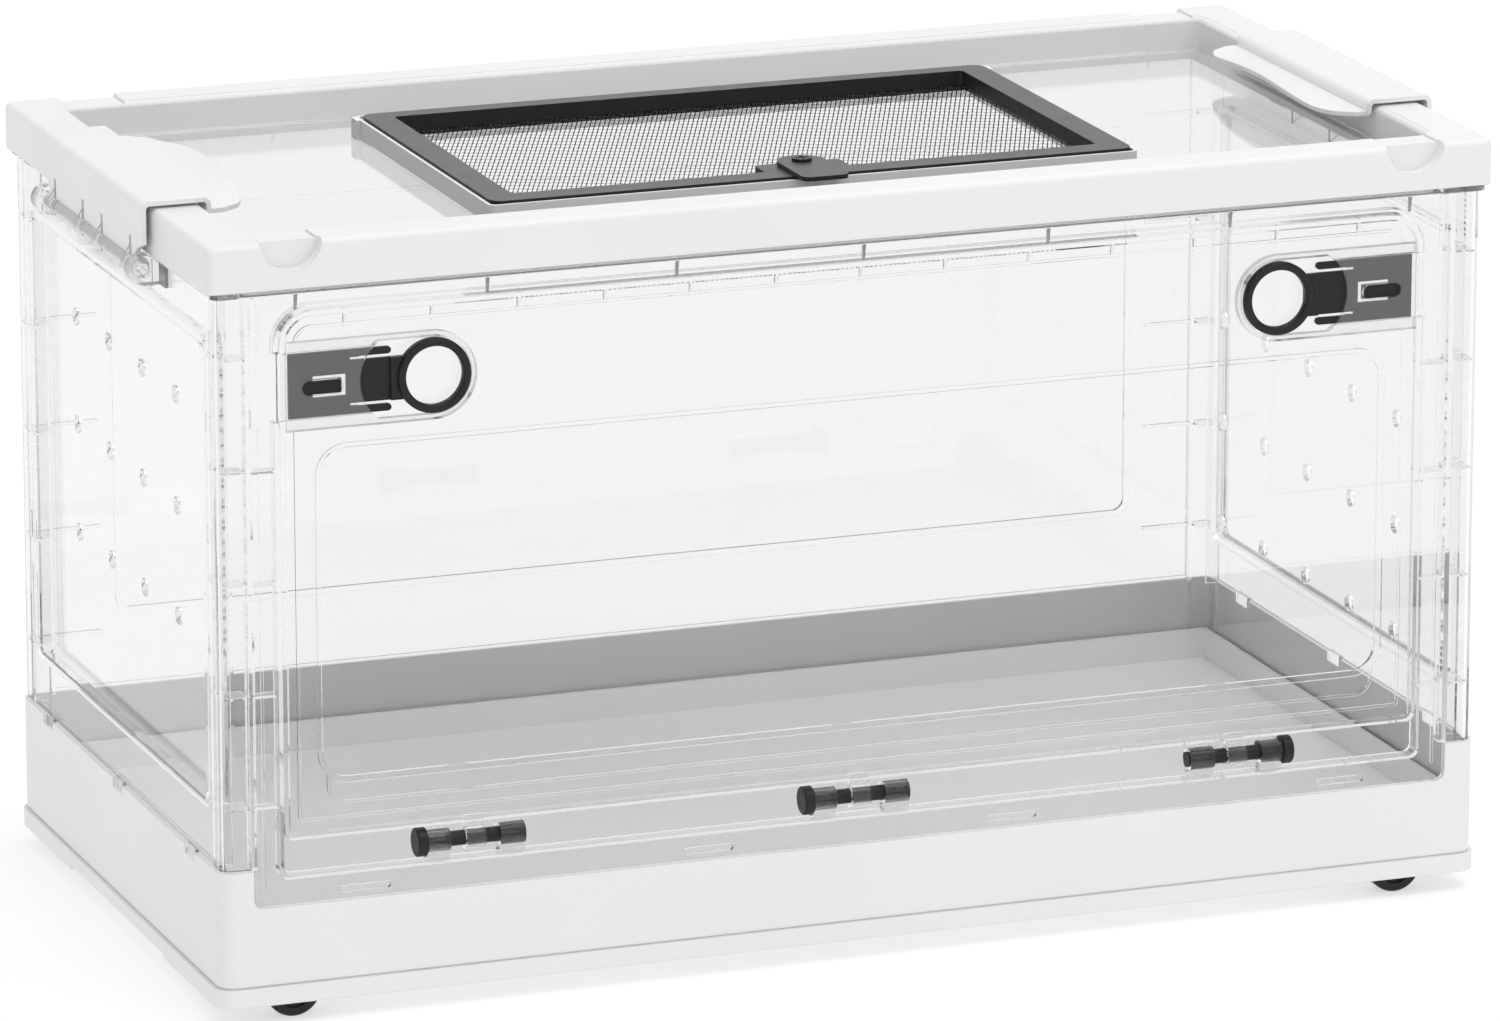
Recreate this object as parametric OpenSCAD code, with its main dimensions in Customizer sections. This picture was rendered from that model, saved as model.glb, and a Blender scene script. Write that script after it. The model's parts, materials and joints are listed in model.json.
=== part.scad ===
// Clear hamster cage: deep white base on wheels, clear walls, drop-down front door
// with two slide bolts, and a clamped lid with a mesh window.
// +X runs along the cage, -Y is the door side, and the floor is at z = 0.

/* [Overall] */
// Length of the lid rim
rim_l = 600; // [560:1:640]
// Width of the lid rim
rim_w = 306; // [296:1:316]
// Height of the lid rim's top face above the floor
lid_top = 349; // [335:1:370]
// Height of the lid rim
rim_h = 20.8; // [20:0.1:24]

/* [Base] */
// Height of the base skirt's lower edge above the floor
skirt_clear = 9; // [6:0.5:11]
// Height of the base's top edge above the floor
base_top = 70; // [66:1:76]
// Height of the cut-out in the front skirt above the floor
notch_z = 53; // [50:1:55]
// Half width of the cut-out in the front skirt
notch_x = 282; // [281.5:0.1:283]
// Moulded wall thickness of the white parts
shell = 2.5; // [2:0.1:3]

/* [Wheels] */
// Radius of a wheel
wheel_r = 12.6; // [11.5:0.1:13]
// Width of a wheel
wheel_w = 12; // [10:0.5:13]
// Distance from the middle of the cage to a wheel, along X
wheel_x = 262; // [250:1:266]
// Distance from the middle of the cage to a wheel's middle, along Y
wheel_y = 139; // [125:0.5:139]
// Radius of a wheel's axle
axle_r = 2; // [1.5:0.1:2.5]

/* [Walls] */
// Thickness of the clear sheets
sheet_t = 2.4; // [1.8:0.1:2.8]
// How far the side walls' middle panels are set in
side_recess = 6; // [4:0.5:8]
// Radius of a vent hole
vent_r = 4.25; // [3:0.25:5]
// Distance between vent holes
vent_pitch = 50; // [40:1:50]

/* [Door] */
// Half width of the door
door_x = 267.2; // [266:0.1:267.4]
// Height of the door's top edge above the floor
door_top = 317.2; // [312:0.1:317.4]
// Height of the door's lower edge above the floor
door_low = 82; // [81.5:0.5:86]
// Height of the door's hinge line above the floor
hinge_z = 74; // [73.5:0.1:74.5]
// Radius of a door hinge pin
pin_r = 3.35; // [3:0.05:3.5]
// Running clearance round pins and axles
run = 0.06; // [0.03:0.01:0.09]

/* [Bolts] */
// Distance from the middle of the cage to a finger ring's centre
ring_x = 197.5; // [195:0.5:200]
// Height of the bolts above the floor
bolt_z = 284; // [270:1:288]
// Outer radius of a finger ring
ring_r = 16.65; // [15:0.05:16.8]
// Inner radius of a finger ring
ring_in = 13; // [11:0.5:13.5]
// Height of a bolt's plate
bolt_h = 28.5; // [24:0.5:29]

/* [Window] */
// Half width of the mesh window's frame
win_x = 151; // [140:0.5:155]
// Front edge of the mesh window's frame
win_front = -94; // [-96:0.5:-90]
// Back edge of the mesh window's frame
win_back = 90; // [86:0.5:91]
// Spacing of the drawn mesh wires
mesh_pitch = 12; // [8:1:20]

/* [End latches] */
// Length of an end latch
latch_l = 150; // [130:1:160]
// Thickness of an end latch
latch_t = 2; // [1.8:0.1:2.2]
// How far an end latch's finger tab reaches past the rim
tab_d = 23; // [18:1:26]
// Radius of a latch's hinge rod
rod_r = 3.2; // [2.8:0.05:3.3]

/* [Hidden] */
$fn = 64;

WHITE = [0.93, 0.93, 0.94];
CLEAR = [0.85, 0.90, 0.95, 0.35];
BLACK = [0.16, 0.16, 0.17];
GREY = [0.43, 0.43, 0.44];
STEEL = [0.70, 0.71, 0.73];

// Base levels and half sizes
lip_x = rim_l / 2 - 1;
lip_y = rim_w / 2;
base_x = lip_x - 1.5;
base_y = lip_y - 1;
lip_z = skirt_clear + 9;
floor_z = 31.5;
floor_t = 2.5;
skirt_in_x = base_x - shell;
skirt_in_y = base_y - shell;
grip_l = 142;
lug_y = 108;
lug_l = 14;

// Wall levels and half sizes
wall_x = 296;
wall_y = 151;
post_leg = 13;
fit = 0.2;
wall_top = lid_top - rim_h - 2.8;
flange_t = 2.5;
rim_z = lid_top - rim_h;
rib_pitch = 50;
rib_t = 1.2;
rib_levels = [base_top + 27 : rib_pitch : wall_top - 20];
side_y = wall_y - post_leg - fit;
front_x = wall_x - post_leg - fit;

// Front frame and door, from the front face backwards
skin_y = -151;
skin_t = 1.8;
open_x = door_x + 0.8;
open_top = door_top + 0.8;
open_low = 66;
channel_y = -143.5;
hinge_y = -146.5;
door_front = -150.6;
door_sheet = -146.9;
door_back = door_sheet + sheet_t;
knuckle_r = 5.2;
head_r = 6.5;
head_l = 5;
knuckle_a = 10.4;
gap_a = 7.3;
knuckle_b = 8.8;
gap_b = 6.7;
knuckle_c = 11.6;
pin_l = knuckle_a + gap_a + knuckle_b + gap_b + knuckle_c;
hinge_x = [-202, -22, 158];
top_ribs = 7;
top_rib_pitch = 86.7;
door_ribs = 13;
door_rib_pitch = 39.5;
inner_x = 251;
inner_low = 105;
inner_top = 257;

// Bolts
bolt_front = -148.9;
bolt_back = -147.3;
bolt_tip = 262.8;
bolt_travel = 11;
cover_front = -150.6;
cover_back = -149.3;
cover_end = 264.4;
cover_r = 19.6;
arm_h = 19;
slit_w = 1.3;

// Lid
base_rc = 8;
rim_rc = 4;
rim_re = 3;
rim_ri = 3;
rim_in_x = 277;
rim_in_y = 131;
ledge = 5;
well_r = 4;
panel_top = lid_top - 15;
panel_t = 2.5;
scoop_x = 262;
scoop_r = 14;
scoop_d = 9;
collar_t = 1.5;
collar_gap = 0.5;
collar_top = lid_top - 6;
win_low = panel_top + fit;
win_top = lid_top - 4.8;
border_x = 13;
border_front = 12.5;
border_back = 9.5;
mesh_z = win_low + 1.8;
wire = 0.6;
pivot_y = win_back - 2.5;
pivot_z = win_top - 2.7;
pivot_r = 1.2;
turn_y = -75;
turn_z = win_top + fit;

// End latches
rod_x = 304;
rod_z = 322;
latch_out = 304.6;
latch_in = 273.2;
latch_top = lid_top + 3.2;
latch_low = rod_z + rod_r + 0.8;
latch_r = 3.5;
hook_r = rod_r + 1.55;
fins = [-57, -14.4, 14.4, 57];
fin_t = 1.6;
fin_gap = 0.7;
fin_r = rod_r + 1.7;
slot_top = rod_z + 12;
bracket_l = 8;
bracket_r = rod_r + 3.4;
tab_z = lid_top - 2;
tab_lift = 4.5;
tab_steps = 24;

// ---- Shared shapes ----

// Rectangle from [x0, y0] to [x1, y1] with round corners
module round_box2(x0, y0, x1, y1, r) {
    translate([x0 + r, y0]) square([x1 - x0 - 2 * r, y1 - y0]);
    translate([x0, y0 + r]) square([x1 - x0, y1 - y0 - 2 * r]);
    for (x = [x0 + r, x1 - r], y = [y0 + r, y1 - r]) translate([x, y]) circle(r);
}

// Outline between a round-cornered rectangle and the same one inset by t
module ring2(x0, y0, x1, y1, r, t) {
    difference() {
        round_box2(x0, y0, x1, y1, r);
        round_box2(x0 + t, y0 + t, x1 - t, y1 - t, r - t);
    }
}

// Rounded rectangle centred on the origin
module plan(x, y, r) {
    round_box2(-x, -y, x, y, r);
}

// Extrudes an [x, z] outline from y = a to y = b
module facing_y(a, b) {
    translate([0, b, 0]) rotate([90, 0, 0]) linear_extrude(b - a) children();
}

// Extrudes a [y, z] outline from x = a to x = b
module facing_x(a, b) {
    translate([a, 0, 0]) rotate([90, 0, 90]) linear_extrude(b - a) children();
}

// Extrudes a plan from z = a to z = b
module level(a, b) {
    translate([0, 0, a]) linear_extrude(b - a) children();
}

// Box given by its low and high corners
module block(lo, hi) {
    translate(lo) cube(hi - lo);
}

// Outline in [distance, z] of a slab's border: r deep, h high, with its outer upper corner rounded
module soft_edge2(r, h, re) {
    square([r, h - re]);
    square([r - re, h]);
    intersection() {
        square([r, h]);
        translate([r - re, h - re]) circle(re);
    }
}

// Slab with round corners in plan and a rounded upper edge
module soft_slab(x, y, z0, z1, rc, re) {
    h = z1 - z0;
    translate([0, 0, z0]) {
        block([-x + rc, -y + rc, 0], [x - rc, y - rc, h]);
        for (s = [0, 1]) {
            rotate(180 * s) translate([0, y - rc, 0]) rotate([90, 0, 90])
                linear_extrude(2 * (x - rc), center = true) soft_edge2(rc, h, re);
            rotate(180 * s) translate([x - rc, 0, 0]) rotate([90, 0, 0])
                linear_extrude(2 * (y - rc), center = true) soft_edge2(rc, h, re);
            for (t = [0, 1]) mirror([s, 0, 0]) mirror([0, t, 0])
                translate([x - rc, y - rc, 0]) rotate_extrude(angle = 90) soft_edge2(rc, h, re);
        }
    }
}

// Cylinder along X from x = a to x = b
module rod_x_dir(a, b, y, z, r) {
    translate([a, y, z]) rotate([0, 90, 0]) cylinder(r = r, h = b - a);
}

// Cylinder along Y from y = a to y = b
module rod_y_dir(a, b, x, z, r) {
    translate([x, b, z]) rotate([90, 0, 0]) cylinder(r = r, h = b - a);
}

module flip_x(on) {
    if (on) mirror([1, 0, 0]) children();
    else children();
}

// ---- Base and wheels ----

module base_tray() {
    groove = 0.6;
    rim_rib = 2;
    rib_gap = 3.4;
    rib_x = skirt_in_x - rib_gap;
    rib_y = skirt_in_y - rib_gap;
    color(WHITE) difference() {
        union() {
            level(lip_z, base_top) plan(base_x, base_y, base_rc);
            level(lip_z - groove, lip_z) plan(base_x - groove, base_y - groove, base_rc - groove);
            level(skirt_clear, lip_z - groove) plan(lip_x, lip_y, base_rc + 1);
        }
        // Space above the floor, with a low rib that keeps the walls against the skirt
        level(floor_z + 14, base_top + 1) plan(skirt_in_x, skirt_in_y, base_rc - shell);
        level(floor_z, base_top) difference() {
            plan(skirt_in_x, skirt_in_y, base_rc - shell);
            difference() {
                plan(rib_x, rib_y, rim_rib);
                plan(rib_x - rim_rib, rib_y - rim_rib, 1);
            }
        }
        // Space under the floor
        level(skirt_clear - 1, floor_z - floor_t) plan(skirt_in_x, skirt_in_y, base_rc - shell);
        // Cut-out in the front skirt
        facing_y(-lip_y - 1, -skirt_in_y + 0.5) {
            round_box2(-notch_x, notch_z, notch_x, base_top + 20, 4);
        }
        // Finger grips at both ends and seats for the walls' lugs
        for (s = [-1, 1]) {
            block([s * lip_x - 5, -grip_l / 2, skirt_clear - 1],
                  [s * lip_x + 5, grip_l / 2, skirt_clear + 2]);
            for (y = [-lug_y, 0, lug_y])
                block([s * base_x - shell - 1, y - lug_l / 2, base_top - 4],
                      [s * base_x + shell + 1, y + lug_l / 2, base_top + 1]);
        }
    }
}

// Runs its children at each of the four wheels, mirrored so that +X and +Y point outwards
module each_caster() {
    for (s = [0, 1], t = [0, 1]) mirror([s, 0, 0]) mirror([0, t, 0]) children();
}

module caster_brackets() {
    cheek = 2;
    gap = 0.8;
    half = 11;
    low = skirt_clear + 1.5;
    inner = wheel_w / 2 + gap;
    color(WHITE) each_caster() translate([wheel_x, wheel_y, 0]) difference() {
        union() {
            block([-half, -inner - cheek, floor_z - floor_t - 2], [half, inner + cheek, floor_z - floor_t]);
            for (s = [-1, 1]) {
                lo = s < 0 ? -inner - cheek : inner;
                block([-half, lo, wheel_r], [half, lo + cheek, floor_z - floor_t]);
                block([-half / 2, lo, low], [half / 2, lo + cheek, wheel_r]);
            }
        }
        rod_y_dir(-inner - cheek - 1, inner + cheek + 1, 0, wheel_r, axle_r);
    }
}

module caster_axles() {
    half = wheel_w / 2 + 2.8;
    color(STEEL) each_caster() translate([wheel_x, wheel_y, 0]) rod_y_dir(-half, half, 0, wheel_r, axle_r);
}

// Wheel with a raised tyre ring and a recessed face, centred on [x, y]
module wheel(x, y) {
    ring = 2.2;
    dish = 1.2;
    edge = 2;
    half = wheel_w / 2;
    color(BLACK) translate([x, y, wheel_r]) rotate([90, 0, 0]) difference() {
        union() {
            cylinder(r = wheel_r, h = wheel_w - 2 * edge, center = true);
            cylinder(r = wheel_r - edge, h = wheel_w, center = true);
            for (s = [-1, 1])
                translate([0, 0, s * (half - edge)])
                    rotate_extrude() translate([wheel_r - edge, 0]) circle(edge);
        }
        for (s = [-1, 1])
            translate([0, 0, s * half]) difference() {
                cylinder(r = wheel_r - edge - ring, h = 2 * dish, center = true);
                cylinder(r = axle_r + 2.5, h = 3 * dish, center = true);
            }
        cylinder(r = axle_r + run, h = wheel_w + 2, center = true);
    }
}

module wheel_front_left() wheel(-wheel_x, -wheel_y);
module wheel_front_right() wheel(wheel_x, -wheel_y);
module wheel_back_left() wheel(-wheel_x, wheel_y);
module wheel_back_right() wheel(wheel_x, wheel_y);

// ---- Clear walls ----

// Corner post in the +X +Y corner, with a tongue inside the base skirt
module post() {
    thick = 2.5;
    web = post_leg - thick;
    color(CLEAR) {
        level(base_top + fit, wall_top) post_plan(wall_x, wall_y, 6, thick);
        level(floor_z + fit, base_top + fit) post_plan(skirt_in_x - fit, skirt_in_y - fit, 5, thick);
        for (z = [base_top + 27 : rib_pitch : wall_top - 20])
            block([wall_x - thick - web, wall_y - thick - web, z],
                  [wall_x - thick - 0.6, wall_y - thick, z + rib_t]);
    }
}

// L-shaped plan of a post whose outer corner is at [x, y]
module post_plan(x, y, r, thick) {
    intersection() {
        ring2(-x, -y, x, y, r, thick);
        translate([wall_x - post_leg, wall_y - post_leg]) square(post_leg + 1);
    }
}

module post_front_left() mirror([1, 0, 0]) mirror([0, 1, 0]) post();
module post_front_right() mirror([0, 1, 0]) post();
module post_back_left() mirror([1, 0, 0]) post();
module post_back_right() post();

// Right-hand end wall: a thin border, a set-in middle panel with rows of vents, and three lugs.
// Five columns of vents stand about y = vent_mid, in three rows from z = vent_low upwards.
module side_wall(vent_mid, vent_low) {
    border = 8;
    low_border = 24;
    top_border = 22;
    r = 6;
    edge_t = 1.8;
    slack = 0.4;
    out = wall_x - 0.5;
    back = out - side_recess - sheet_t;
    tongue = skirt_in_x - fit;
    z0 = base_top + fit;
    py = side_y - border;
    pz0 = z0 + low_border;
    pz1 = wall_top - top_border;
    color(CLEAR) difference() {
        union() {
            facing_x(out - sheet_t, out) difference() {
                round_box2(-side_y, z0, side_y, wall_top, 1);
                round_box2(-py, pz0, py, pz1, r);
            }
            facing_x(back, out) ring2(-py - 1, pz0 - 1, py + 1, pz1 + 1, r + 1, sheet_t + 1);
            facing_x(back, back + sheet_t) round_box2(-py, pz0, py, pz1, r);
            // Edge returns and short ribs beside the posts
            for (s = [0, 1]) mirror([0, s, 0]) {
                block([back, side_y - edge_t, z0], [out, side_y, wall_top]);
                for (z = rib_levels)
                    block([out - 5, py, z], [out - sheet_t, side_y, z + rib_t]);
            }
            // Tongue inside the skirt, joined to the border by lugs
            facing_x(tongue - sheet_t, tongue) round_box2(-side_y, floor_z + fit, side_y, z0 + 2, 1);
            for (y = [-lug_y, 0, lug_y])
                block([tongue - 1, y - lug_l / 2 + slack, base_top - 3.8],
                      [base_x - slack, y + lug_l / 2 - slack, z0 + 1]);
        }
        for (i = [-2 : 2], j = [0 : 2])
            rod_x_dir(back - 1, out + 1, vent_mid + i * vent_pitch, vent_low + j * vent_pitch, vent_r);
    }
}

module left_wall() mirror([1, 0, 0]) side_wall(-20, 164.5);
module right_wall() side_wall(20, 104);

// Back wall: a sheet with a shallow middle panel, edge returns and short ribs beside the posts
module back_wall() {
    r = 8;
    step = 1.6;
    panel_top_z = 293;
    edge_t = 1.8;
    deep = 6;
    rib_in = 258;
    rib_out = 281;
    out = wall_y - 0.5;
    tongue = skirt_in_y - fit;
    z0 = base_top + fit;
    color(CLEAR) difference() {
        union() {
            facing_y(out - sheet_t, out) round_box2(-front_x, z0, front_x, wall_top, 1);
            facing_y(out - sheet_t - step, out - 1)
                round_box2(-inner_x, inner_low, inner_x, panel_top_z, r);
            for (s = [0, 1]) mirror([s, 0, 0]) {
                block([front_x - edge_t, out - deep, z0], [front_x, out - 1, wall_top]);
                for (z = rib_levels)
                    block([rib_in, out - deep + 1, z], [rib_out + 0.5, out - 1, z + rib_t]);
            }
            facing_y(tongue - sheet_t, tongue) round_box2(-front_x, floor_z + fit, front_x, z0 + 2, 1);
        }
        facing_y(out - step, out + 1)
            round_box2(-inner_x + sheet_t, inner_low + sheet_t, inner_x - sheet_t, panel_top_z - sheet_t,
                       r - sheet_t);
    }
}

// Front wall: skin round the door opening, stiffened jambs, sill and fixed hinge knuckles
module front_frame() {
    low = notch_z + fit;
    side = front_x - 1.4;
    ret = 1.8;
    jamb = 3;
    stiff_x = 276.5;
    stiff_t = 1.2;
    rib_half = 6;
    key = bolt_h / 2 + 1;
    drain = [11.5, 3];
    color(CLEAR) difference() {
        union() {
            facing_y(skin_y, skin_y + skin_t) difference() {
                round_box2(-side, low, side, wall_top, 4);
                door_hole(0);
            }
            // Return round the door opening
            facing_y(skin_y, channel_y) difference() {
                door_hole(ret);
                door_hole(0);
            }
            for (s = [0, 1]) mirror([s, 0, 0]) {
                // Jamb above the base's cut-out, with short ribs and a vertical stiffener
                block([front_x - jamb, skin_y, base_top + fit], [front_x, channel_y, wall_top]);
                for (z = rib_levels)
                    if (abs(z - bolt_z) > key + 2)
                        block([(front_x + open_x) / 2 - rib_half, skin_y + 1, z],
                              [(front_x + open_x) / 2 + rib_half, channel_y, z + rib_t]);
                for (span = [[low + 8, bolt_z - key - 2], [bolt_z + key + 2, wall_top]])
                    block([stiff_x - stiff_t / 2, skin_y + 1, span[0]],
                          [stiff_x + stiff_t / 2, skin_y + skin_t + 1, span[1]]);
            }
            for (x = hinge_x) flip_x(x > 0) fixed_knuckles(x > 0 ? -x - pin_l : x);
        }
        // Keeper notches, open to the back, that the bolts slide into behind the skin
        for (s = [0, 1]) mirror([s, 0, 0])
            block([open_x - 1, bolt_front - 0.3, bolt_z - key],
                  [front_x - jamb - 0.2, channel_y + 1, bolt_z + key]);
        // Drain slots along the sill
        for (x = [-231, -72, 72, 231])
            facing_y(skin_y - 1, skin_y + skin_t + 1)
                round_box2(x - drain[0], low + 3, x + drain[0], low + 3 + drain[1], 1.4);
        for (x = hinge_x) rod_x_dir(x - 1, x + pin_l + 1, hinge_y, hinge_z, pin_r);
    }
}

// Door opening, grown by g
module door_hole(g) {
    round_box2(-open_x - g, open_low - g, open_x + g, open_low + 60, 4);
    round_box2(-open_x - g, open_low + 10, open_x + g, open_top + g, 16 + g);
}

// First and last knuckle of a hinge whose first knuckle starts at x
module fixed_knuckles(x) {
    for (a = [[x, knuckle_a], [x + pin_l - knuckle_c, knuckle_c]]) {
        rod_x_dir(a[0], a[0] + a[1], hinge_y, hinge_z, knuckle_r);
        block([a[0], hinge_y - 2.5, open_low - 2], [a[0] + a[1], hinge_y + 2.5, hinge_z]);
    }
}

// Flange that the lid rests on, with a locating rib inside the lid rim and gussets below
module top_frame() {
    fx = rim_l / 2 - 2.5;
    fy = rim_w / 2 - 0.4;
    loc = 4.5;
    gus = 7;
    gus_top = wall_top + fit + 1;
    gusset_y = 112;
    color(CLEAR) {
        level(wall_top + fit, wall_top + fit + flange_t) difference() {
            plan(fx, fy, 4);
            plan(wall_x - 14, wall_y - 14, 3);
        }
        level(wall_top + fit, rim_z + 5) difference() {
            plan(fx - loc, fy - loc, 5);
            plan(fx - loc - 1.8, fy - loc - 1.8, 3.2);
        }
        for (i = [0 : top_ribs - 1], s = [-1, 1]) {
            x = (i - (top_ribs - 1) / 2) * top_rib_pitch;
            mirror([0, s > 0 ? 1 : 0, 0]) facing_x(x - 0.7, x + 0.7)
                polygon([[-fy, gus_top], [-wall_y, gus_top], [-wall_y, wall_top - gus]]);
        }
        for (s = [0, 1], y = [-gusset_y, gusset_y])
            mirror([s, 0, 0]) facing_y(y - 0.7, y + 0.7)
                polygon([[-fx, gus_top], [-wall_x, gus_top], [-wall_x, wall_top - gus]]);
    }
}

// ---- Door ----

module door_outline(inset) {
    x = door_x - inset;
    round_box2(-x, door_low + inset, x, door_low + 60, 4 - inset / 4);
    round_box2(-x, door_low + 10, x, door_top - inset, 15.2 - inset);
}

module door_panel() {
    wall = 2.4;
    bead = 7;
    bead_w = 1.2;
    raise = 1.6;
    key = bolt_h / 2 + 0.6;
    color(CLEAR) difference() {
        union() {
            facing_y(door_front, door_back) difference() {
                door_outline(0);
                door_outline(wall);
            }
            facing_y(door_sheet, door_back) door_outline(0.5);
            facing_y(door_sheet - 0.8, door_sheet + 0.5) difference() {
                door_outline(bead);
                door_outline(bead + bead_w);
                for (on = [0, 1]) mirror([on, 0]) cover_outline(0.2);
            }
            // Middle panel, raised towards the front
            facing_y(door_sheet - raise, door_sheet + 0.5)
                round_box2(-inner_x, inner_low, inner_x, inner_top, 14);
            facing_y(door_sheet - 0.8, door_sheet + 0.5)
                ring2(-inner_x + 4, inner_low - 9.5, inner_x - 4, inner_low + 14, 8, bead_w);
            for (i = [0 : door_ribs - 1]) {
                x = (i - (door_ribs - 1) / 2) * door_rib_pitch;
                facing_x(x - 0.6, x + 0.6) polygon([
                    [door_front + 0.6, door_top - wall + 0.5], [door_sheet + 0.5, door_top - wall + 0.5],
                    [door_sheet + 0.5, door_top - wall - 7], [door_sheet, door_top - wall - 7]
                ]);
            }
            for (x = hinge_x) flip_x(x > 0) door_knuckle(x > 0 ? -x - pin_l : x);
        }
        // Back of the middle panel
        facing_y(door_back - raise, door_back + 1)
            round_box2(-inner_x + 2.4, inner_low + 2.4, inner_x - 2.4, inner_top - 2.4, 11.6);
        // Ways out for the bolts
        for (s = [-1, 1])
            block([s * (door_x - 3) - 6, bolt_front - 0.25, bolt_z - key],
                  [s * (door_x - 3) + 6, door_sheet, bolt_z + key]);
        for (x = hinge_x) rod_x_dir(x - 1, x + pin_l + 1, hinge_y, hinge_z, pin_r + run);
    }
}

// Middle knuckle of a hinge whose first knuckle starts at x
module door_knuckle(x) {
    a = x + knuckle_a + gap_a;
    rod_x_dir(a, a + knuckle_b, hinge_y, hinge_z, knuckle_r);
    block([a, door_sheet, hinge_z], [a + knuckle_b, door_back, door_low + 1]);
}

// Pins with round heads; the right-hand pin faces the other way
module door_hinge_pins() {
    color(BLACK) for (x = hinge_x) flip_x(x > 0) {
        start = x > 0 ? -x - pin_l : x;
        rod_x_dir(start, start + pin_l + 0.5, hinge_y, hinge_z, pin_r);
        rod_x_dir(start - head_l, start, hinge_y, hinge_z, head_r - 1);
        rod_x_dir(start - head_l + 1, start - 1, hinge_y, hinge_z, head_r);
        for (e = [start - head_l + 1, start - 1])
            translate([e, hinge_y, hinge_z]) rotate([0, 90, 0])
                rotate_extrude() translate([head_r - 1, 0]) circle(1);
    }
}

// Outline of the clear cover over the left-hand bolt
module cover_outline(g) {
    translate([-ring_x, bolt_z]) circle(cover_r + g);
    translate([-cover_end, bolt_z - cover_r - g]) square([cover_end - ring_x, 2 * (cover_r + g)]);
}

// Space round the left-hand finger ring over its whole travel
module ring_space() {
    half = ring_r + 0.6;
    for (x = [-ring_x, -ring_x - bolt_travel]) translate([x, bolt_z]) circle(half);
    translate([-ring_x - bolt_travel, bolt_z - half]) square([bolt_travel, 2 * half]);
    intersection() {
        translate([-ring_x - 12, bolt_z]) circle(21.5);
        translate([-240, bolt_z - half]) square([60, 2 * half]);
    }
}

module bolt_cover(right) {
    rail = bolt_h / 2 + 0.6;
    pill_x = -ring_x - 50.4;
    color(CLEAR) flip_x(right) difference() {
        facing_y(cover_front, door_sheet) cover_outline(0);
        // Room for the bolt behind the cover
        block([-cover_end - 1, cover_back, bolt_z - rail], [-ring_x, door_sheet + 1, bolt_z + rail]);
        facing_y(cover_front - 1, door_sheet + 1) ring_space();
        facing_y(cover_front - 1, cover_back + 1)
            round_box2(pill_x - 9.25, bolt_z - 4.2, pill_x + 9.25, bolt_z + 2.3, 3.2);
    }
}

module bolt_cover_left() bolt_cover(false);
module bolt_cover_right() bolt_cover(true);

// Left-hand slide bolt: plate with a sprung tongue, side prongs, arm and finger ring
module bolt(right) {
    plate_end = -ring_x - 33.5;
    proud = -ring_x - 19.5;
    arm_end = -ring_x - ring_in - 0.2;
    pill_x = -ring_x - 50.4;
    prong_h = 3.2;
    ring_front = -152.6;
    ring_e = 1.5;
    color(BLACK) flip_x(right) difference() {
        union() {
            facing_y(bolt_front, bolt_back) {
                translate([-bolt_tip, bolt_z - bolt_h / 2]) square([bolt_tip + plate_end, bolt_h]);
                translate([plate_end - 1, bolt_z - arm_h / 2]) square([arm_end - plate_end + 1, arm_h]);
                for (s = [-1, 1]) {
                    z = bolt_z + s * (bolt_h / 2 - prong_h / 2);
                    translate([plate_end - 1, z - prong_h / 2]) square([14, prong_h]);
                    translate([plate_end + 13, z]) circle(prong_h / 2);
                }
            }
            facing_y(bolt_front - 1.5, bolt_back)
                translate([proud, bolt_z - arm_h / 2]) square([arm_end - proud, arm_h]);
            translate([-ring_x, bolt_back, bolt_z]) rotate([90, 0, 0]) rotate_extrude()
                round_box2(ring_in, 0, ring_r, bolt_back - ring_front, ring_e);
        }
        // Cut round the sprung tongue
        facing_y(bolt_front - 1, bolt_back + 1) translate([pill_x, bolt_z - 1]) {
            translate([-4, 3.2]) square([14.5, 1.6]);
            translate([9, -4.8]) square([2.2, 9.6]);
            translate([-4, -4.8]) square([14.5, 1.6]);
        }
        // Slits beside the arm
        for (s = [-1, 1])
            facing_y(bolt_front - 1, bolt_back + 1)
                translate([plate_end - 4, bolt_z + s * (arm_h + slit_w) / 2 - slit_w / 2])
                    square([5, slit_w]);
    }
}

module bolt_left() bolt(false);
module bolt_right() bolt(true);

// ---- Lid ----

module lid_rim() {
    slot_half = 13;
    color(WHITE) difference() {
        soft_slab(rim_l / 2, rim_w / 2, rim_z, lid_top, rim_rc, rim_re);
        // Well above the clear panel, its rounded upper edge, and the opening it covers
        level(panel_top - panel_t, lid_top + 1) plan(rim_in_x, rim_in_y, well_r);
        translate([0, 0, lid_top]) well_flare(rim_in_x, rim_in_y, well_r, rim_ri);
        level(rim_z - 1, lid_top) plan(rim_in_x - ledge, rim_in_y - ledge, 3);
        // Hollow underside, left solid round the four scoops
        level(rim_z - 1, lid_top - shell) difference() {
            plan(rim_l / 2 - shell, rim_w / 2 - shell, rim_rc - shell);
            plan(rim_in_x + shell, rim_in_y + shell, 5);
        }
        // Scoops and the shallow slots behind them
        for (s = [-1, 1], t = [0, 1]) mirror([0, t, 0]) {
            facing_y(-rim_w / 2 - 1, -rim_w / 2 + scoop_d - shell)
                translate([s * scoop_x, lid_top + 1]) circle(scoop_r);
            block([s * scoop_x - slot_half, -rim_w / 2 + scoop_d - shell, lid_top - 1],
                  [s * scoop_x + slot_half, -rim_in_y + 1, lid_top + 1]);
        }
    }
    color(WHITE) for (s = [-1, 1], t = [0, 1]) mirror([0, t, 0]) scoop_shell(s * scoop_x);
}

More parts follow.
